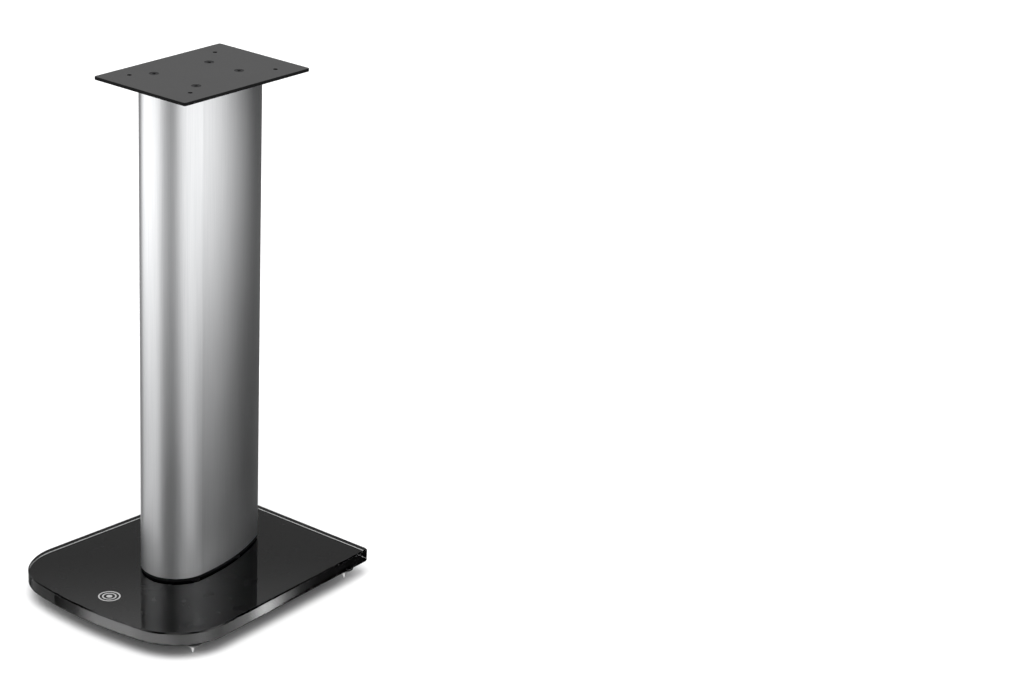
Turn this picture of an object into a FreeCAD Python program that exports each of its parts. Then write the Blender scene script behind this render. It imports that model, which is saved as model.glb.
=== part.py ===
"""Loudspeaker stand: a flat steel top plate on an extruded aluminium column, which stands on a glass
base with four height-adjustable spikes.

Frame: millimetres, +Z up, the front faces -Y. The origin is on the floor, under the middle of the base.
"""
import math
import os

import FreeCAD
import Part

V = FreeCAD.Vector
UP = V(0, 0, 1)

# Overall heights
FOOT_HEIGHT = 20.0
FILM_THICKNESS = 0.8
GLASS_THICKNESS = 15.0
GASKET_THICKNESS = 4.0
COLUMN_LENGTH = 590.5
PAD_THICKNESS = 1.5
PLATE_THICKNESS = 4.0

# Top plate
PLATE_WIDTH = 142.0
PLATE_DEPTH = 200.0
PLATE_CORNER_RADIUS = 2.5
PLATE_EDGE_RADIUS = 0.5
SPEAKER_HOLE_SPACING_X = 95.0
SPEAKER_HOLE_SPACING_Y = 136.0
SPEAKER_HOLE_DIAMETER = 5.5

# Column section: a round nose, two long side arcs and a narrow flat back
COLUMN_Y = 19.0
COLUMN_DEPTH = 168.0
NOSE_RADIUS = 42.0
SIDE_RADIUS = 285.0
COLUMN_WALL = 3.0
COLUMN_BACK_CORNER = 1.5
WEB_THICKNESS = 2.5
PORT_RADIUS = 6.5
FRONT_PORT = (33.0, -44.0)
REAR_PORT = (23.5, 34.0)
SEAL_INSET = 1.0

# M6 fasteners, with plain cylinders for threads
SCREW_DIAMETER = 5.9
THREAD_BORE = 6.0
CLEARANCE_HOLE = 6.6
TOP_SCREW_LENGTH = 25.0
TOP_HEAD_DIAMETER = 11.3
TOP_HEAD_HEIGHT = 2.7
TOP_HEAD_RECESS = 0.2
SEAT_GAP = 0.05
HEX_KEY = 4.0
HEX_KEY_DEPTH = 1.8
BASE_SCREW_REACH = 20.0
BASE_HEAD_DIAMETER = 10.5
BASE_HEAD_HEIGHT = 3.3
WASHER_DIAMETER = 12.0
WASHER_THICKNESS = 1.6

# Glass base
BASE_DEPTH = 345.0
BASE_BACK_HALF_WIDTH = 131.0
BASE_SIDE_SLOPE = 0.0525
BASE_FRONT_RADIUS = 520.0
BASE_FRONT_CORNER = 72.0
BASE_BACK_CORNER = 5.0
GLASS_TOP_CHAMFER = 1.5
GLASS_BOTTOM_CHAMFER = 1.0
FILM_INSET = 1.5
GLASS_HOLE_DIAMETER = 10.2
SLEEVE_DIAMETER = 10.0

# Clamp under the glass
CLAMP_WIDTH = 90.0
CLAMP_DEPTH = 112.0
CLAMP_Y_OFFSET = -5.0
CLAMP_CORNER = 10.0
CLAMP_PLATE_THICKNESS = 3.0
CLAMP_PAD_THICKNESS = 2.0
CLAMP_PAD_INSET = 1.5

# Feet
FRONT_FOOT = (120.0, -117.0)
REAR_FOOT = (115.0, 147.0)
BOSS_DIAMETER = 22.0
BOSS_DROP = 8.0
BOSS_CHAMFER = 1.2
FILM_CUTOUT_DIAMETER = 23.0
NUT_ACROSS_FLATS = 10.0
NUT_THICKNESS = 3.6
NUT_CHAMFER = 0.6
SPIKE_CONE_LENGTH = 8.0
SPIKE_TIP_RADIUS = 0.5
SPIKE_TOP_GAP = 0.3

# Generic printed mark on the glass: two rings round a dot
MARK_Y = -132.5
MARK_THICKNESS = 0.15
MARK_RING_RADII = (13.0, 8.5)
MARK_LINE_WIDTH = 1.8
MARK_DOT_RADIUS = 3.5

# Levels worked out from the stack
GLASS_BOTTOM = FOOT_HEIGHT + FILM_THICKNESS
GLASS_TOP = GLASS_BOTTOM + GLASS_THICKNESS
COLUMN_BOTTOM = GLASS_TOP + GASKET_THICKNESS
COLUMN_TOP = COLUMN_BOTTOM + COLUMN_LENGTH
PLATE_BOTTOM = COLUMN_TOP + PAD_THICKNESS
PLATE_TOP = PLATE_BOTTOM + PLATE_THICKNESS


def cylinder(radius, height, x, y, z):
    """Upright cylinder whose lower face is centred on (x, y, z)."""
    return Part.makeCylinder(radius, height, V(x, y, z))


def cone(lower_radius, upper_radius, height, x, y, z):
    """Upright cone or taper that starts at (x, y, z)."""
    return Part.makeCone(lower_radius, upper_radius, height, V(x, y, z))


def tube(outer_radius, inner_radius, height, x, y, z):
    """Upright ring with a plain bore."""
    return cylinder(outer_radius, height, x, y, z).cut(cylinder(inner_radius, height, x, y, z))


def hexagon(across_flats, height, x, y, z):
    """Upright hexagonal prism."""
    corner_radius = across_flats / math.sqrt(3)
    points = []
    for step in range(7):
        angle = math.radians(60 * step)
        points.append(V(x + corner_radius * math.cos(angle), y + corner_radius * math.sin(angle), z))
    return Part.Face(Part.makePolygon(points)).extrude(UP * height)


def rounded_slab(width, depth, corner, height, y, z):
    """Rectangular slab with rounded upright corners, centred on (0, y)."""
    slab = Part.makeBox(width, depth, height, V(-width / 2, y - depth / 2, z))
    upright = [edge for edge in slab.Edges if abs(edge.tangentAt(edge.FirstParameter).z) > 0.99]
    return slab.makeFillet(corner, upright)


def drilled(shape, diameter, places):
    """The shape with upright holes right through it."""
    box = shape.BoundBox
    for x, y in places:
        shape = shape.cut(cylinder(diameter / 2, box.ZLength + 2, x, y, box.ZMin - 1))
    return shape


def rim_edges(shape, level):
    """Edges of the outer boundary of the flat face at the given level."""
    for face in shape.Faces:
        if abs(face.BoundBox.ZMin - level) < 1e-6 and abs(face.BoundBox.ZMax - level) < 1e-6:
            return face.OuterWire.Edges
    raise ValueError("no flat face at that level")


def both_sides(place):
    """The place and its mirror image in x."""
    x, y = place
    return [(-x, y), (x, y)]


def screw_places():
    """Screw ports of the column, front pair first."""
    places = both_sides(FRONT_PORT) + both_sides(REAR_PORT)
    return [(x, COLUMN_Y + y) for x, y in places]


def speaker_hole_places():
    """Clearance holes near the corners of the top plate."""
    half_x = SPEAKER_HOLE_SPACING_X / 2
    half_y = SPEAKER_HOLE_SPACING_Y / 2
    places = both_sides((half_x, -half_y)) + both_sides((half_x, half_y))
    return [(x, COLUMN_Y + y) for x, y in places]


def foot_places():
    """Foot names with their places."""
    names = ["front_left", "front_right", "rear_left", "rear_right"]
    return list(zip(names, both_sides(FRONT_FOOT) + both_sides(REAR_FOOT)))


def column_prism(inset, height, z):
    """Solid with the column's outline, drawn in by the inset."""
    nose_y = COLUMN_Y - COLUMN_DEPTH / 2 + NOSE_RADIUS
    back_y = COLUMN_Y + COLUMN_DEPTH / 2 - inset
    nose_radius = NOSE_RADIUS - inset
    side_radius = SIDE_RADIUS - inset
    arc_centre_x = NOSE_RADIUS - SIDE_RADIUS
    back_angle = math.asin((back_y - nose_y) / side_radius)
    back_x = arc_centre_x + side_radius * math.cos(back_angle)
    middle_x = arc_centre_x + side_radius * math.cos(back_angle / 2)
    middle_y = nose_y + side_radius * math.sin(back_angle / 2)
    right_back = V(back_x, back_y, z)
    left_back = V(-back_x, back_y, z)
    right_shoulder = V(nose_radius, nose_y, z)
    left_shoulder = V(-nose_radius, nose_y, z)
    edges = [
        Part.LineSegment(left_back, right_back).toShape(),
        Part.Arc(right_back, V(middle_x, middle_y, z), right_shoulder).toShape(),
        Part.Arc(right_shoulder, V(0, nose_y - nose_radius, z), left_shoulder).toShape(),
        Part.Arc(left_shoulder, V(-middle_x, middle_y, z), left_back).toShape(),
    ]
    return Part.Face(Part.Wire(edges)).extrude(UP * height)


def base_prism(inset, height, z):
    """Solid with the base's outline: straight back, tapering sides, bowed front and round corners."""
    back_y = BASE_DEPTH / 2 - inset
    front_y = -BASE_DEPTH / 2 + inset
    bow_radius = BASE_FRONT_RADIUS - inset
    corner_radius = BASE_FRONT_CORNER - inset
    lean = math.atan(BASE_SIDE_SLOPE)
    outward = V(math.cos(lean), math.sin(lean), 0)
    along = V(math.sin(lean), -math.cos(lean), 0)
    back_point = V(BASE_BACK_HALF_WIDTH, BASE_DEPTH / 2, 0) - outward * inset
    bow_centre = V(0, front_y + bow_radius, 0)
    start = back_point - outward * corner_radius
    reach = bow_radius - corner_radius
    drop = start - bow_centre
    travel = -drop.dot(along) + math.sqrt(drop.dot(along) ** 2 - drop.dot(drop) + reach ** 2)
    corner_centre = start + along * travel
    side_end = corner_centre + outward * corner_radius
    to_bow = (corner_centre - bow_centre).normalize()
    bow_start = bow_centre + to_bow * bow_radius
    middle = (outward + to_bow).normalize()
    corner_middle = corner_centre + middle * corner_radius
    side_start = back_point + along * ((back_y - back_point.y) / along.y)

    def right(point):
        return V(point.x, point.y, z)

    def left(point):
        return V(-point.x, point.y, z)

    edges = [
        Part.LineSegment(left(side_start), right(side_start)).toShape(),
        Part.LineSegment(right(side_start), right(side_end)).toShape(),
        Part.Arc(right(side_end), right(corner_middle), right(bow_start)).toShape(),
        Part.Arc(right(bow_start), V(0, front_y, z), left(bow_start)).toShape(),
        Part.Arc(left(bow_start), left(corner_middle), left(side_end)).toShape(),
        Part.LineSegment(left(side_end), left(side_start)).toShape(),
    ]
    prism = Part.Face(Part.Wire(edges)).extrude(UP * height)
    back_edges = []
    for edge in prism.Edges:
        box = edge.BoundBox
        if box.ZLength > height / 2 and box.YMin > back_y - 1:
            back_edges.append(edge)
    return prism.makeFillet(BASE_BACK_CORNER - inset / 2, back_edges)


def make_top_plate():
    plate = rounded_slab(PLATE_WIDTH, PLATE_DEPTH, PLATE_CORNER_RADIUS, PLATE_THICKNESS, COLUMN_Y, PLATE_BOTTOM)
    rims = rim_edges(plate, PLATE_TOP) + rim_edges(plate, PLATE_BOTTOM)
    plate = plate.makeFillet(PLATE_EDGE_RADIUS, rims)
    plate = drilled(plate, SPEAKER_HOLE_DIAMETER, speaker_hole_places())
    plate = drilled(plate, CLEARANCE_HOLE, screw_places())
    seat_top = TOP_HEAD_DIAMETER / 2 + SEAT_GAP
    seat_bottom = SCREW_DIAMETER / 2 + SEAT_GAP
    for x, y in screw_places():
        head_top = PLATE_TOP - TOP_HEAD_RECESS
        plate = plate.cut(cone(seat_bottom, seat_top, TOP_HEAD_HEIGHT, x, y, head_top - TOP_HEAD_HEIGHT))
        plate = plate.cut(cylinder(seat_top, TOP_HEAD_RECESS + 1, x, y, head_top))
    return plate


def make_top_screw(x, y):
    head_top = PLATE_TOP - TOP_HEAD_RECESS
    head_bottom = head_top - TOP_HEAD_HEIGHT
    head = cone(SCREW_DIAMETER / 2, TOP_HEAD_DIAMETER / 2, TOP_HEAD_HEIGHT, x, y, head_bottom)
    shank_length = TOP_SCREW_LENGTH - TOP_HEAD_HEIGHT
    shank = cylinder(SCREW_DIAMETER / 2, shank_length, x, y, head_bottom - shank_length)
    return head.fuse(shank).cut(hexagon(HEX_KEY, HEX_KEY_DEPTH, x, y, head_top - HEX_KEY_DEPTH))


def make_top_pad():
    return drilled(column_prism(SEAL_INSET, PAD_THICKNESS, COLUMN_TOP), CLEARANCE_HOLE, screw_places())


def make_column():
    outside = column_prism(0, COLUMN_LENGTH, COLUMN_BOTTOM)
    back_edges = []
    for edge in outside.Edges:
        box = edge.BoundBox
        if box.ZLength > COLUMN_LENGTH / 2 and box.YMin > COLUMN_Y + COLUMN_DEPTH / 2 - 1:
            back_edges.append(edge)
    outside = outside.makeFillet(COLUMN_BACK_CORNER, back_edges)
    inside = column_prism(COLUMN_WALL, COLUMN_LENGTH, COLUMN_BOTTOM)
    column = outside.cut(inside)
    rear_x, rear_y = REAR_PORT
    web_place = V(-rear_x, COLUMN_Y + rear_y - WEB_THICKNESS / 2, COLUMN_BOTTOM)
    column = column.fuse(Part.makeBox(2 * rear_x, WEB_THICKNESS, COLUMN_LENGTH, web_place))
    for x, y in screw_places():
        column = column.fuse(cylinder(PORT_RADIUS, COLUMN_LENGTH, x, y, COLUMN_BOTTOM).common(outside))
    return drilled(column.removeSplitter(), THREAD_BORE, screw_places())


def make_base_gasket():
    return drilled(column_prism(SEAL_INSET, GASKET_THICKNESS, GLASS_TOP), CLEARANCE_HOLE, screw_places())


def make_glass_base():
    glass = base_prism(0, GLASS_THICKNESS, GLASS_BOTTOM)
    glass = glass.makeChamfer(GLASS_TOP_CHAMFER, rim_edges(glass, GLASS_TOP))
    glass = glass.makeChamfer(GLASS_BOTTOM_CHAMFER, rim_edges(glass, GLASS_BOTTOM))
    return drilled(glass, GLASS_HOLE_DIAMETER, screw_places())


def make_backing_film():
    film = base_prism(FILM_INSET, FILM_THICKNESS, FOOT_HEIGHT)
    film = drilled(film, GLASS_HOLE_DIAMETER, screw_places())
    return drilled(film, FILM_CUTOUT_DIAMETER, [place for name, place in foot_places()])


def make_glass_sleeve(x, y):
    length = FILM_THICKNESS + GLASS_THICKNESS
    return tube(SLEEVE_DIAMETER / 2, CLEARANCE_HOLE / 2, length, x, y, FOOT_HEIGHT)


def make_clamp_pad():
    width = CLAMP_WIDTH - 2 * CLAMP_PAD_INSET
    depth = CLAMP_DEPTH - 2 * CLAMP_PAD_INSET
    level = FOOT_HEIGHT - CLAMP_PAD_THICKNESS
    pad = rounded_slab(width, depth, CLAMP_CORNER, CLAMP_PAD_THICKNESS, COLUMN_Y + CLAMP_Y_OFFSET, level)
    return drilled(pad, CLEARANCE_HOLE, screw_places())


def make_clamp_plate():
    level = FOOT_HEIGHT - CLAMP_PAD_THICKNESS - CLAMP_PLATE_THICKNESS
    centre_y = COLUMN_Y + CLAMP_Y_OFFSET
    plate = rounded_slab(CLAMP_WIDTH, CLAMP_DEPTH, CLAMP_CORNER, CLAMP_PLATE_THICKNESS, centre_y, level)
    return drilled(plate, CLEARANCE_HOLE, screw_places())


def washer_level():
    return FOOT_HEIGHT - CLAMP_PAD_THICKNESS - CLAMP_PLATE_THICKNESS - WASHER_THICKNESS


def make_base_washer(x, y):
    return tube(WASHER_DIAMETER / 2, CLEARANCE_HOLE / 2, WASHER_THICKNESS, x, y, washer_level())


def make_base_screw(x, y):
    head_top = washer_level()
    head_bottom = head_top - BASE_HEAD_HEIGHT
    head = cylinder(BASE_HEAD_DIAMETER / 2, BASE_HEAD_HEIGHT, x, y, head_bottom)
    head = head.makeFillet(BASE_HEAD_HEIGHT / 2, rim_edges(head, head_bottom))
    shank = cylinder(SCREW_DIAMETER / 2, COLUMN_BOTTOM + BASE_SCREW_REACH - head_top, x, y, head_top)
    return head.fuse(shank).cut(hexagon(HEX_KEY, HEX_KEY_DEPTH, x, y, head_bottom))


def make_foot_boss(x, y):
    bottom = FOOT_HEIGHT - BOSS_DROP
    boss = cylinder(BOSS_DIAMETER / 2, GLASS_BOTTOM - bottom, x, y, bottom)
    boss = boss.makeChamfer(BOSS_CHAMFER, rim_edges(boss, bottom))
    return drilled(boss, THREAD_BORE, [(x, y)])


def make_lock_nut(x, y):
    top = FOOT_HEIGHT - BOSS_DROP - SEAT_GAP
    nut = hexagon(NUT_ACROSS_FLATS, NUT_THICKNESS, x, y, top - NUT_THICKNESS)
    corner_radius = NUT_ACROSS_FLATS / math.sqrt(3)
    turned = cylinder(corner_radius, NUT_THICKNESS, x, y, top - NUT_THICKNESS)
    turned = turned.makeChamfer(NUT_CHAMFER, rim_edges(turned, top) + rim_edges(turned, top - NUT_THICKNESS))
    return drilled(nut.common(turned), THREAD_BORE, [(x, y)])


def make_spike(x, y):
    radius = SCREW_DIAMETER / 2
    tip = Part.makeSphere(SPIKE_TIP_RADIUS, V(x, y, SPIKE_TIP_RADIUS))
    point = cone(SPIKE_TIP_RADIUS, radius, SPIKE_CONE_LENGTH - SPIKE_TIP_RADIUS, x, y, SPIKE_TIP_RADIUS)
    stud_top = GLASS_BOTTOM - SPIKE_TOP_GAP
    stud = cylinder(radius, stud_top - SPIKE_CONE_LENGTH, x, y, SPIKE_CONE_LENGTH)
    return stud.fuse(point).fuse(tip).removeSplitter()


def make_front_mark():
    pieces = [cylinder(MARK_DOT_RADIUS, MARK_THICKNESS, 0, MARK_Y, GLASS_TOP)]
    for radius in MARK_RING_RADII:
        pieces.append(tube(radius, radius - MARK_LINE_WIDTH, MARK_THICKNESS, 0, MARK_Y, GLASS_TOP))
    return Part.makeCompound(pieces)


def group(maker, places):
    """Compound of identical separate pieces."""
    return Part.makeCompound([maker(x, y) for x, y in places])


def make_nodes():
    """Every node of the stand, by name."""
    nodes = {
        "top_plate": make_top_plate(),
        "top_screws": group(make_top_screw, screw_places()),
        "top_pad": make_top_pad(),
        "column": make_column(),
        "base_gasket": make_base_gasket(),
        "glass_base": make_glass_base(),
        "backing_film": make_backing_film(),
        "glass_sleeves": group(make_glass_sleeve, screw_places()),
        "clamp_pad": make_clamp_pad(),
        "clamp_plate": make_clamp_plate(),
        "base_washers": group(make_base_washer, screw_places()),
        "base_screws": group(make_base_screw, screw_places()),
        "front_mark": make_front_mark(),
    }
    for name, (x, y) in foot_places():
        nodes["foot_boss_" + name] = make_foot_boss(x, y)
        nodes["lock_nut_" + name] = make_lock_nut(x, y)
        nodes["spike_" + name] = make_spike(x, y)
    return nodes


os.makedirs("parts", exist_ok=True)
for node_name, node_shape in make_nodes().items():
    node_shape.exportStep("parts/" + node_name + ".step")
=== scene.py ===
"""Looks of the loudspeaker stand: materials, glass, threads, floor, studio and camera.

Metres, +Z up, front to -Y.
"""
import math

import bpy
from mathutils import Matrix, Vector


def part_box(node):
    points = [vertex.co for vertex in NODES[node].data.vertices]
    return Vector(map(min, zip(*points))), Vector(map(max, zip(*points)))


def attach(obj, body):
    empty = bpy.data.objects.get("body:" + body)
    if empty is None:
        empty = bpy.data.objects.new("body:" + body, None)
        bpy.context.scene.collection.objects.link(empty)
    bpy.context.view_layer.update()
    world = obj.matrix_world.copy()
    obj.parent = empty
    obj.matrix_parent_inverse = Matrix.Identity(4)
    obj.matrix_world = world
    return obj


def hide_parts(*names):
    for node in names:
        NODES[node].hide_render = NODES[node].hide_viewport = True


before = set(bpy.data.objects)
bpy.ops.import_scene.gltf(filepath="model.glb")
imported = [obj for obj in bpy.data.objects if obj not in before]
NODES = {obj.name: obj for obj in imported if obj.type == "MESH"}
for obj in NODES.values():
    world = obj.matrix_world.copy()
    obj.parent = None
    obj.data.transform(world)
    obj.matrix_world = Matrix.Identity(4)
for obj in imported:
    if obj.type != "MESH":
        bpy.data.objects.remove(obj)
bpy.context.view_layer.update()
CORNERS = ("front_left", "front_right", "rear_left", "rear_right")

# Camera: where it stands, where it looks, and a long lens
CAMERA_PLACE = (2.2433, -2.2660, 1.5670)
CAMERA_AZIMUTH = 38.16
CAMERA_ELEVATION = 21.39
CAMERA_ROLL = 2.47
LENS_MM = 104.9
SENSOR_MM = 36.0

# Outline of the glass base
BASE_BACK_HALF_WIDTH = 0.131
BASE_SIDE_SLOPE = 0.0525
BASE_FRONT_RADIUS = 0.520
BASE_FRONT_CORNER = 0.072
BASE_BACK_CORNER = 0.005
TOP_CHAMFER = 0.0015
BOTTOM_CHAMFER = 0.0005
ARRIS_RADIUS = 0.0002
FILM_INSET = 0.0007
FILM_BITE = 0.00003

# Edges that are broken or rounded in making
EDGE_BREAKS = {
    "clamp_plate": 0.0004,
    "base_washers": 0.0002,
    "base_screws": 0.00015,
    "top_screws": 0.0001,
}
BOSS_EDGE = 0.0005
NUT_EDGE = 0.0003

# Spikes
THREAD_PITCH = 0.001
THREAD_DEPTH = 0.00045
SPIKE_CONE = 0.008
SPIKE_TIP = 0.0005
SPIKE_STEPS = 48
TURN_ROWS = 12
SHOULDER_BREAK = 0.0002
SHOULDER_SHARE = 0.985
THREAD_LEAD = 0.0004
FLANK_SLOPE = 1.3
CREST_SHARE = 0.15
TOP_BREAK = 0.0003

# Powder coat: how much level and upright faces reflect; the weak reflection of upright faces is painted shade
# on the sides
TOP_SHINE = 0.5
EDGE_SHINE_PAINTED_SHADE = 0.03

# Studio
FLOOR_HALF_SIZE = 40.0
TENT_RADIUS = 1.6
TENT_STEPS = 96
TENT_BOTTOM = -1.6
TENT_TOP = 2.6
SUN_STRENGTH = 2.6
SUN_SPREAD = 40.0
SUN_LEAN = 28.0
STRIP_RADIUS = 0.36
BACKDROP = (0.93, 0.93, 0.935, 1.0)


# ---------------------------------------------------------------- mesh helpers

def new_object(name, vertices, faces):
    mesh = bpy.data.meshes.new(name)
    mesh.from_pydata(vertices, [], faces)
    mesh.validate()
    mesh.update()
    piece = bpy.data.objects.new(name, mesh)
    bpy.context.scene.collection.objects.link(piece)
    return piece


def smooth(piece, angle=30.0):
    piece.data.shade_smooth()
    piece.data.set_sharp_from_angle(angle=math.radians(angle))
    return piece


def bevel(piece, width, segments=2, angle=30.0):
    edge = piece.modifiers.new("arris", "BEVEL")
    edge.width = width
    edge.segments = segments
    edge.limit_method = "ANGLE"
    edge.angle_limit = math.radians(angle)
    edge.harden_normals = True
    return piece


def stacked_rings(name, rings, closed_ends=True):
    """Mesh through rings of points that all have the same count, lowest first."""
    count = len(rings[0])
    vertices = [point for ring in rings for point in ring]
    faces = []
    for level in range(len(rings) - 1):
        for i in range(count):
            j = (i + 1) % count
            low, high = level * count, (level + 1) * count
            faces.append((low + i, low + j, high + j, high + i))
    if closed_ends:
        faces.append(tuple(reversed(range(count))))
        faces.append(tuple(range((len(rings) - 1) * count, len(rings) * count)))
    return new_object(name, vertices, faces)


def arc(centre, radius, start, end, steps):
    """Points of an arc about centre, from angle start to angle end in radians."""
    points = []
    for step in range(steps + 1):
        angle = start + (end - start) * step / steps
        points.append((centre.x + radius * math.cos(angle), centre.y + radius * math.sin(angle)))
    return points


def base_outline(inset, z):
    """Outline of the base seen from above, drawn in by the inset: anticlockwise, ending at the back right."""
    low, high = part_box("glass_base")
    lean = math.atan(BASE_SIDE_SLOPE)
    outward = Vector((math.cos(lean), math.sin(lean)))
    along = Vector((math.sin(lean), -math.cos(lean)))
    back_point = Vector((BASE_BACK_HALF_WIDTH, high.y)) - outward * inset
    back_y = high.y - inset
    front_y = low.y + inset
    corner = BASE_FRONT_CORNER - inset
    bow = BASE_FRONT_RADIUS - inset
    bow_centre = Vector((0.0, front_y + bow))
    start = back_point - outward * corner
    drop = start - bow_centre
    reach = bow - corner
    travel = -drop.dot(along) + math.sqrt(drop.dot(along) ** 2 - drop.dot(drop) + reach ** 2)
    corner_centre = start + along * travel
    to_bow = (corner_centre - bow_centre).normalized()
    back_radius = BASE_BACK_CORNER - inset / 2
    back_centre_start = back_point - outward * back_radius
    back_travel = (back_y - back_radius - back_centre_start.y) / along.y
    back_centre = back_centre_start + along * back_travel
    bow_angle = math.atan2(to_bow.y, to_bow.x)
    half = arc(back_centre, back_radius, math.pi / 2, lean, 10)
    half += arc(corner_centre, corner, lean, bow_angle, 40)
    half += arc(bow_centre, bow, bow_angle, -math.pi / 2, 40)[1:]
    other = [(-x, y) for x, y in reversed(half[:-1])]
    return [(x, y, z) for x, y in half + other][::-1]


# ---------------------------------------------------------------- materials

def new_material(name, **sockets):
    """Principled material with constants set on the shader's own sockets."""
    material = bpy.data.materials.new(name)
    material.use_nodes = True
    shader = material.node_tree.nodes["Principled BSDF"]
    for socket, value in sockets.items():
        shader.inputs[socket.replace("_", " ")].default_value = value
    return material, material.node_tree, shader


def add(tree, kind, **settings):
    node = tree.nodes.new(kind)
    for key, value in settings.items():
        setattr(node, key, value)
    return node


def calculate(tree, operation, *values):
    """Result of a math node on sockets or plain numbers."""
    node = add(tree, "ShaderNodeMath", operation=operation)
    for place, value in zip(node.inputs, values):
        if isinstance(value, bpy.types.NodeSocket):
            tree.links.new(value, place)
        else:
            place.default_value = value
    return node.outputs["Value"]


def object_noise(tree, scale, stretch=(1.0, 1.0, 1.0), detail=4.0):
    """Noise in the object's own metres, stretched along its axes."""
    place = add(tree, "ShaderNodeTexCoord")
    mapping = add(tree, "ShaderNodeMapping")
    mapping.inputs["Scale"].default_value = stretch
    noise = add(tree, "ShaderNodeTexNoise")
    noise.inputs["Scale"].default_value = scale
    noise.inputs["Detail"].default_value = detail
    tree.links.new(place.outputs["Object"], mapping.inputs["Vector"])
    tree.links.new(mapping.outputs["Vector"], noise.inputs["Vector"])
    return noise.outputs["Fac"]


def spread(tree, source, low, high):
    """Maps a 0 to 1 value to low to high."""
    ranged = add(tree, "ShaderNodeMapRange")
    ranged.inputs["To Min"].default_value = low
    ranged.inputs["To Max"].default_value = high
    tree.links.new(source, ranged.inputs["Value"])
    return ranged.outputs["Result"]


def tint(tree, source, dark, light):
    """Maps a 0 to 1 value to a colour between dark and light."""
    ramp = add(tree, "ShaderNodeValToRGB")
    ramp.color_ramp.elements[0].position = 0.3
    ramp.color_ramp.elements[1].position = 0.7
    ramp.color_ramp.elements[0].color = (*dark, 1.0)
    ramp.color_ramp.elements[1].color = (*light, 1.0)
    tree.links.new(source, ramp.inputs["Fac"])
    return ramp.outputs["Color"]


def colour(tree, shader, source, dark, light):
    """Base colour between dark and light."""
    tree.links.new(tint(tree, source, dark, light), shader.inputs["Base Color"])


def roughen(tree, shader, source, low, high):
    """Roughness between low and high."""
    tree.links.new(spread(tree, source, low, high), shader.inputs["Roughness"])


def bump(tree, shader, source, depth, strength=1.0):
    """Bump of a real depth in metres."""
    relief = add(tree, "ShaderNodeBump")
    relief.inputs["Strength"].default_value = strength
    relief.inputs["Distance"].default_value = depth
    tree.links.new(source, relief.inputs["Height"])
    tree.links.new(relief.outputs["Normal"], shader.inputs["Normal"])


def satin_aluminium():
    """Silver anodised extrusion: fine lines along its length and a slightly uneven satin."""
    along_length = {"Anisotropic": 0.5, "Anisotropic_Rotation": 0.25}
    material, tree, shader = new_material("satin_aluminium", Metallic=1.0, **along_length)
    lines = object_noise(tree, 900.0, (1.0, 1.0, 0.012), 3.0)
    patches = object_noise(tree, 14.0, (1.0, 1.0, 0.35), 2.0)
    colour(tree, shader, lines, (0.80, 0.81, 0.82), (0.86, 0.865, 0.875))
    roughen(tree, shader, patches, 0.31, 0.37)
    bump(tree, shader, lines, 0.000004)
    return material


def black_powder_coat():
    """Fine matt powder coat on steel, with painted shade: upright faces are given far less reflection than
    level ones.
    """
    material, tree, shader = new_material("black_powder_coat")
    grain = object_noise(tree, 1500.0, detail=2.0)
    clouds = object_noise(tree, 22.0, detail=3.0)
    # Reflection strength follows how level the face is: painted shade on the upright faces
    facing = add(tree, "ShaderNodeTexCoord")
    split = add(tree, "ShaderNodeSeparateXYZ")
    tree.links.new(facing.outputs["Normal"], split.inputs["Vector"])
    flat = calculate(tree, "ABSOLUTE", split.outputs["Z"])
    shine_with_painted_shade = spread(tree, flat, EDGE_SHINE_PAINTED_SHADE, TOP_SHINE)
    tree.links.new(shine_with_painted_shade, shader.inputs["Specular IOR Level"])
    colour(tree, shader, clouds, (0.0045, 0.0046, 0.0048), (0.0065, 0.0066, 0.0068))
    roughen(tree, shader, grain, 0.36, 0.46)
    bump(tree, shader, grain, 0.00004, 0.6)
    return material


def clear_glass():
    material, tree, shader = new_material("clear_glass", Transmission_Weight=1.0, IOR=1.5)
    smear = object_noise(tree, 30.0, detail=2.0)
    colour(tree, shader, smear, (0.955, 0.965, 0.962), (0.975, 0.98, 0.978))
    roughen(tree, shader, smear, 0.0, 0.012)
    return material


def black_film():
    material, tree, shader = new_material("black_film", Specular_IOR_Level=0.05)
    clouds = object_noise(tree, 40.0, detail=3.0)
    colour(tree, shader, clouds, (0.0008, 0.0008, 0.001), (0.0018, 0.0018, 0.002))
    roughen(tree, shader, clouds, 0.12, 0.2)
    return material


def black_rubber():
    material, tree, shader = new_material("black_rubber", Specular_IOR_Level=0.12)
    grain = object_noise(tree, 2600.0, detail=3.0)
    colour(tree, shader, grain, (0.0020, 0.0020, 0.0021), (0.0040, 0.0040, 0.0042))
    roughen(tree, shader, grain, 0.68, 0.85)
    bump(tree, shader, grain, 0.00005, 0.7)
    return material


def black_oxide():
    material, tree, shader = new_material("black_oxide", Specular_IOR_Level=0.1)
    grain = object_noise(tree, 1800.0, detail=3.0)
    colour(tree, shader, grain, (0.004, 0.004, 0.0045), (0.009, 0.009, 0.0095))
    roughen(tree, shader, grain, 0.38, 0.5)
    bump(tree, shader, grain, 0.00001)
    return material


def zinc_steel():
    material, tree, shader = new_material("zinc_steel", Metallic=1.0)
    patches = object_noise(tree, 500.0, detail=5.0)
    colour(tree, shader, patches, (0.56, 0.57, 0.58), (0.68, 0.68, 0.67))
    roughen(tree, shader, patches, 0.24, 0.38)
    bump(tree, shader, patches, 0.000008)
    return material


def turned_steel():
    """Bright steel with fine turning rings."""
    material, tree, shader = new_material("turned_steel", Metallic=1.0)
    rings = object_noise(tree, 700.0, (0.05, 0.05, 8.0), 2.0)
    colour(tree, shader, rings, (0.60, 0.60, 0.60), (0.74, 0.74, 0.735))
    roughen(tree, shader, rings, 0.16, 0.3)
    bump(tree, shader, rings, 0.000006)
    return material


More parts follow.
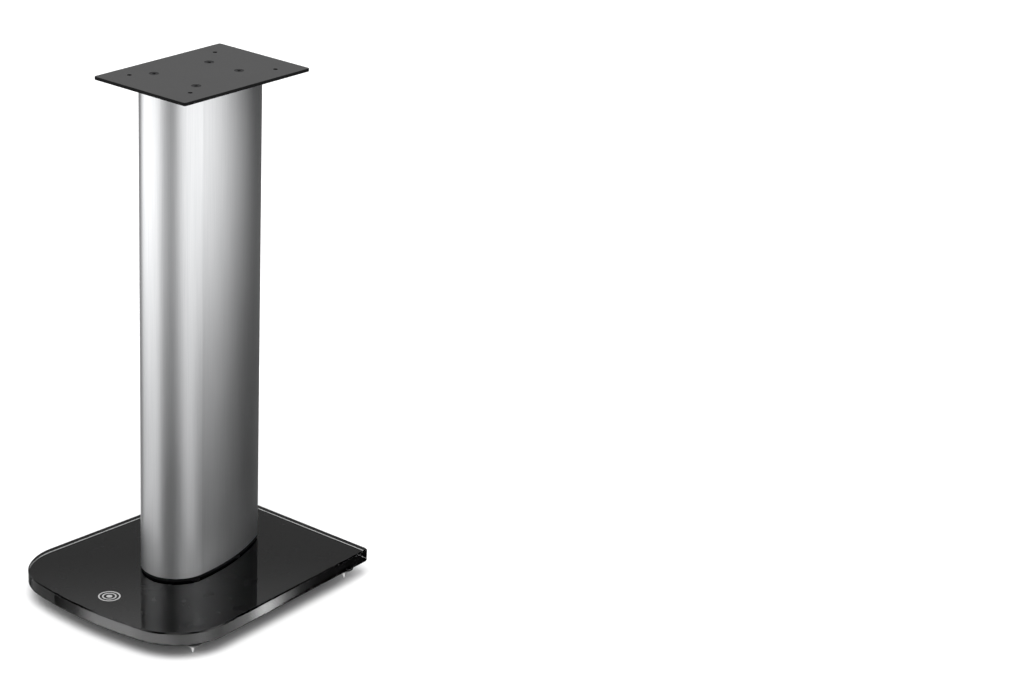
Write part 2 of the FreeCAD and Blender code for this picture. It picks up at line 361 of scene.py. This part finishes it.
def black_satin_paint():
    material, tree, shader = new_material("black_satin_paint", Specular_IOR_Level=0.5)
    grain = object_noise(tree, 900.0, detail=2.0)
    colour(tree, shader, grain, (0.016, 0.016, 0.017), (0.024, 0.024, 0.025))
    roughen(tree, shader, grain, 0.3, 0.42)
    bump(tree, shader, grain, 0.00002, 0.6)
    return material


def black_nylon():
    material, tree, shader = new_material("black_nylon")
    grain = object_noise(tree, 1200.0, detail=2.0)
    colour(tree, shader, grain, (0.008, 0.008, 0.008), (0.012, 0.012, 0.012))
    roughen(tree, shader, grain, 0.45, 0.6)
    return material


def silver_ink():
    material, tree, shader = new_material("silver_ink", Metallic=0.7)
    flakes = object_noise(tree, 4000.0, detail=2.0)
    colour(tree, shader, flakes, (0.50, 0.50, 0.50), (0.66, 0.66, 0.66))
    roughen(tree, shader, flakes, 0.32, 0.5)
    return material


def pale_floor():
    material, tree, shader = new_material("pale_floor", Roughness=0.9, Specular_IOR_Level=0.1)
    clouds = object_noise(tree, 3.0, detail=3.0)
    colour(tree, shader, clouds, (0.80, 0.80, 0.80), (0.815, 0.815, 0.815))
    return material


def paint(node, material):
    """Gives a CAD node its material in every slot."""
    mesh = NODES[node].data
    mesh.materials.clear()
    mesh.materials.append(material)


def break_edges(node, width):
    """Takes the sharp edge off a CAD node."""
    bevel(NODES[node], width, angle=40.0)


def finish_piece(piece, material, body, slot, *nodes):
    piece.data.materials.append(material)
    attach(piece, body)
    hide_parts(*nodes)
    return piece


# ---------------------------------------------------------------- pieces

def make_glass():
    low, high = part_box("glass_base")
    rings = [
        base_outline(BOTTOM_CHAMFER, low.z),
        base_outline(0.0, low.z + BOTTOM_CHAMFER),
        base_outline(0.0, high.z - TOP_CHAMFER),
        base_outline(TOP_CHAMFER, high.z),
    ]
    return smooth(bevel(stacked_rings("glass_slab", rings), ARRIS_RADIUS))


def make_film():
    """Backing sheet with a bite into the glass, so that nothing but glass lies over it."""
    low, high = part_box("backing_film")
    rings = [base_outline(FILM_INSET, low.z), base_outline(FILM_INSET, high.z + FILM_BITE)]
    return smooth(stacked_rings("glass_backing", rings))


def make_spike(corner):
    """Threaded stud that ends in a cone with a small round tip."""
    low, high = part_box("spike_" + corner)
    centre = (low + high) / 2
    radius = (high.x - low.x) / 2
    thread_start = SPIKE_CONE + THREAD_PITCH
    length = high.z - low.z
    levels = int((length - thread_start) / THREAD_PITCH * TURN_ROWS)
    rings = []
    for share, height in ((0.35, 0.0), (0.8, 0.25), (1.0, 0.8)):
        rings.append([(SPIKE_TIP * share, SPIKE_TIP * height)] * SPIKE_STEPS)
    rings.append([(radius * SHOULDER_SHARE, SPIKE_CONE - SHOULDER_BREAK)] * SPIKE_STEPS)
    rings.append([(radius, SPIKE_CONE)] * SPIKE_STEPS)
    rings.append([(radius, thread_start - THREAD_LEAD)] * SPIKE_STEPS)
    for level in range(levels + 1):
        ring = []
        for step in range(SPIKE_STEPS):
            z = thread_start + level * THREAD_PITCH / TURN_ROWS
            turn = (z / THREAD_PITCH - step / SPIKE_STEPS) % 1.0
            flank = abs(turn - 0.5) * 2
            fade = min(1.0, level / TURN_ROWS, (levels - level) / TURN_ROWS)
            groove = min(1.0, max(0.0, flank * FLANK_SLOPE - CREST_SHARE))
            ring.append((radius - THREAD_DEPTH * fade * groove, z))
        rings.append(ring)
    rings.append([(radius - TOP_BREAK, high.z)] * SPIKE_STEPS)
    placed = []
    for ring in rings:
        points = []
        for step, (ring_radius, z) in enumerate(ring):
            angle = 2 * math.pi * step / SPIKE_STEPS
            x = centre.x + ring_radius * math.cos(angle)
            y = centre.y + ring_radius * math.sin(angle)
            points.append((x, y, z))
        placed.append(points)
    return smooth(stacked_rings("threaded_spike_" + corner, placed), 50.0)


def make_pieces():
    glass = clear_glass()
    film = black_film()
    steel = turned_steel()
    finish_piece(make_glass(), glass, "stand", "clear_glass", "glass_base")
    finish_piece(make_film(), film, "stand", "black_film", "backing_film")
    for corner in CORNERS:
        finish_piece(make_spike(corner), steel, "spike_" + corner, "bright_steel", "spike_" + corner)


def paint_nodes():
    rubber = black_rubber()
    zinc = zinc_steel()
    coat = black_powder_coat()
    boss = black_satin_paint()
    looks = {
        "top_plate": coat,
        "clamp_plate": coat,
        "top_screws": black_oxide(),
        "top_pad": rubber,
        "base_gasket": rubber,
        "clamp_pad": rubber,
        "column": satin_aluminium(),
        "glass_sleeves": black_nylon(),
        "base_washers": zinc,
        "base_screws": zinc,
        "front_mark": silver_ink(),
    }
    for corner in CORNERS:
        looks["foot_boss_" + corner] = boss
        looks["lock_nut_" + corner] = zinc
    for node, material in looks.items():
        paint(node, material)
    for node, width in EDGE_BREAKS.items():
        break_edges(node, width)
    for corner in CORNERS:
        break_edges("foot_boss_" + corner, BOSS_EDGE)
        break_edges("lock_nut_" + corner, NUT_EDGE)


# ---------------------------------------------------------------- studio

def make_floor():
    half = FLOOR_HALF_SIZE
    corners = [(-half, -half, 0.0), (half, -half, 0.0), (half, half, 0.0), (-half, half, 0.0)]
    floor = new_object("floor", corners, [(0, 1, 2, 3)])
    floor.data.materials.append(pale_floor())
    floor.visible_glossy = False
    floor.visible_transmission = False


# Soft panels of the light tent: bearing of the middle, half width and softness of the sides in degrees, then
# lower edge, upper edge and softness of both in metres, and brightness. A bearing is 0 straight in front of
# the stand and positive to its right.
TENT_PANELS = {
    "left_tall": (-48, 40, 14, -2.00, 0.60, 0.35, 0.45),
    "left_upper": (-36, 44, 24, -0.20, 0.75, 0.25, 0.60),
    "right_upper": (97, 46, 20, -0.15, 0.62, 0.22, 1.10),
    "right_low": (86, 20, 14, -2.00, -0.10, 0.25, 0.25),
    "ring": (42, 120, 24, -0.05, 0.20, 0.14, 1.40),
    "rear_tall": (-137, 28, 14, -2.00, 3.00, 0.10, 0.25),
    "rear_low": (-137, 28, 14, -2.00, 0.35, 0.25, 0.40),
    "rear_high": (-137, 28, 14, 0.92, 3.00, 0.14, 0.56),
    "left_high": (-60, 40, 20, 1.25, 3.00, 0.08, 1.40),
    "right_high": (135, 30, 15, 1.25, 3.00, 0.08, 1.70),
}

# Low strip of light round the base: its height, the spacing of its points along the glass, and its brightness
# at these bearings
STRIP_HEIGHT = 0.019
STRIP_SPACING = 0.008
STRIP_LIGHT = (
    (-40, 0.05), (-30, 0.5), (-22, 3.0), (-8, 3.6), (0, 2.8), (12, 3.2),
    (30, 3.0), (46, 1.9), (70, 2.6), (88, 1.6), (106, 1.0), (114, 1.2),
    (119, 2.0), (123, 7.2), (128, 1.6), (131, 0.3), (135, 0.05), (150, 0.0),
)


def glow_by_bearing(name):
    """Empty emission material, with the height and the bearing in degrees that its light depends on."""
    material = bpy.data.materials.new(name)
    material.use_nodes = True
    tree = material.node_tree
    tree.nodes.clear()
    place = add(tree, "ShaderNodeNewGeometry")
    split = add(tree, "ShaderNodeSeparateXYZ")
    tree.links.new(place.outputs["Position"], split.inputs["Vector"])
    forward = calculate(tree, "MULTIPLY", split.outputs["Y"], -1.0)
    bearing = calculate(tree, "ARCTAN2", split.outputs["X"], forward)
    glow = add(tree, "ShaderNodeEmission")
    output = add(tree, "ShaderNodeOutputMaterial")
    tree.links.new(glow.outputs["Emission"], output.inputs["Surface"])
    return material, tree, split.outputs["Z"], calculate(tree, "DEGREES", bearing), glow


def within(tree, source, middle, half, fade):
    """1 inside middle plus or minus half and 0 outside, changing smoothly within the fade of each edge."""
    away = calculate(tree, "ABSOLUTE", calculate(tree, "SUBTRACT", source, middle))
    edge = add(tree, "ShaderNodeMapRange", interpolation_type="SMOOTHSTEP")
    edge.inputs["From Min"].default_value = half - fade
    edge.inputs["From Max"].default_value = half + fade
    edge.inputs["To Min"].default_value = 1.0
    edge.inputs["To Max"].default_value = 0.0
    tree.links.new(away, edge.inputs["Value"])
    return edge.outputs["Result"]


def tent_material():
    """Glow of the light tent: the sum of its soft panels."""
    material, tree, height, bearing, glow = glow_by_bearing("tent_light")
    total = 0.0
    for middle, half_width, side_fade, low, high, end_fade, level in TENT_PANELS.values():
        across = within(tree, bearing, middle, half_width, side_fade)
        upright = within(tree, height, (low + high) / 2, (high - low) / 2, end_fade)
        panel = calculate(tree, "MULTIPLY", calculate(tree, "MULTIPLY", across, upright), level)
        total = calculate(tree, "ADD", panel, total)
    tree.links.new(total, glow.inputs["Strength"])
    return material


def strip_material():
    """Glow of the low strip, by bearing."""
    material, tree, _, bearing, glow = glow_by_bearing("strip_light")
    first, last = STRIP_LIGHT[0][0], STRIP_LIGHT[-1][0]
    peak = max(level for _, level in STRIP_LIGHT)
    share = add(tree, "ShaderNodeMapRange")
    share.inputs["From Min"].default_value = first
    share.inputs["From Max"].default_value = last
    tree.links.new(bearing, share.inputs["Value"])
    ramp = add(tree, "ShaderNodeValToRGB")
    elements = ramp.color_ramp.elements
    elements[1].position = 1.0
    for point, _ in STRIP_LIGHT[1:-1]:
        elements.new((point - first) / (last - first))
    for element, (_, level) in zip(elements, STRIP_LIGHT):
        element.color = (level / peak, level / peak, level / peak, 1.0)
    tree.links.new(share.outputs["Result"], ramp.inputs["Fac"])
    tree.links.new(ramp.outputs["Color"], glow.inputs["Color"])
    glow.inputs["Strength"].default_value = peak
    return material


def only_in_reflections(wall):
    wall.visible_camera = False
    wall.visible_diffuse = False
    wall.visible_shadow = False
    wall.visible_volume_scatter = False


def make_tent():
    """Round light tent that only reflections see."""
    rings = []
    for z in (TENT_BOTTOM, TENT_TOP):
        ring = []
        for step in range(TENT_STEPS):
            angle = 2 * math.pi * step / TENT_STEPS
            ring.append((TENT_RADIUS * math.cos(angle), TENT_RADIUS * math.sin(angle), z))
        rings.append(ring)
    tent = stacked_rings("light_tent", rings, closed_ends=False)
    tent.data.materials.append(tent_material())
    only_in_reflections(tent)


def strip_path():
    """Where the camera's view, mirrored in the upright edge of the glass, meets the strip's cylinder."""
    low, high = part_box("glass_base")
    outline = [Vector(point) for point in base_outline(0.0, (low.z + high.z) / 2)]
    path = []
    for start, end in zip(outline, outline[1:]):
        edge = end - start
        outward = Vector((-edge.y, edge.x, 0.0)).normalized()
        if outward.dot(start) < 0.0:
            outward.negate()
        count = max(1, round(edge.length / STRIP_SPACING))
        for step in range(count):
            spot = start + edge * (step + 0.5) / count
            view = (spot - Vector(CAMERA_PLACE)).normalized()
            point = on_strip(spot, view.reflect(outward))
            bearing = math.degrees(math.atan2(point.x, -point.y))
            if view.dot(outward) < 0.0 and STRIP_LIGHT[0][0] <= bearing <= STRIP_LIGHT[-1][0]:
                path.append(point)
    return path


def on_strip(spot, ray):
    """Point at the strip's radius that a ray from inside it meets."""
    across = ray.x * ray.x + ray.y * ray.y
    half = spot.x * ray.x + spot.y * ray.y
    rest = spot.x * spot.x + spot.y * spot.y - STRIP_RADIUS ** 2
    return spot + ray * ((math.sqrt(half * half - across * rest) - half) / across)


def make_strip():
    """Narrow curved light low beside the base, for the polished edges of the glass."""
    half = Vector((0.0, 0.0, STRIP_HEIGHT / 2))
    vertices = []
    for point in strip_path():
        vertices += [point - half, point + half]
    faces = [(i, i + 2, i + 3, i + 1) for i in range(0, len(vertices) - 2, 2)]
    strip = new_object("light_strip", vertices, faces)
    strip.data.materials.append(strip_material())
    only_in_reflections(strip)
    lit = bpy.data.collections.new("lit_by_strip")
    lit.objects.link(bpy.data.objects["glass_slab"])
    strip.light_linking.receiver_collection = lit


def make_sun():
    light = bpy.data.lights.new("overhead", "SUN")
    light.energy = SUN_STRENGTH
    light.angle = math.radians(SUN_SPREAD)
    lamp = bpy.data.objects.new("overhead", light)
    lamp.rotation_euler = (math.radians(SUN_LEAN), 0.0, math.radians(CAMERA_AZIMUTH))
    lamp.visible_glossy = False
    bpy.context.scene.collection.objects.link(lamp)


def make_world():
    """Pale backdrop, which also lights the object evenly from all round."""
    world = bpy.data.worlds.new("studio")
    bpy.context.scene.world = world
    world.use_nodes = True
    tree = world.node_tree
    tree.nodes.clear()
    around = add(tree, "ShaderNodeBackground")
    around.inputs["Color"].default_value = BACKDROP
    output = add(tree, "ShaderNodeOutputWorld")
    tree.links.new(around.outputs["Background"], output.inputs["Surface"])


def make_camera():
    data = bpy.data.cameras.new("camera")
    data.lens = LENS_MM
    data.sensor_width = SENSOR_MM
    data.clip_end = 100.0
    camera = bpy.data.objects.new("camera", data)
    bpy.context.scene.collection.objects.link(camera)
    azimuth = Matrix.Rotation(math.radians(CAMERA_AZIMUTH), 4, "Z")
    tilt = Matrix.Rotation(math.radians(90.0 - CAMERA_ELEVATION), 4, "X")
    roll = Matrix.Rotation(math.radians(CAMERA_ROLL), 4, "Z")
    camera.matrix_world = Matrix.Translation(CAMERA_PLACE) @ azimuth @ tilt @ roll
    bpy.context.scene.camera = camera


make_camera()
make_pieces()
paint_nodes()
make_floor()
make_tent()
make_strip()
make_sun()
make_world()
bpy.context.scene.view_settings.view_transform = "Standard"
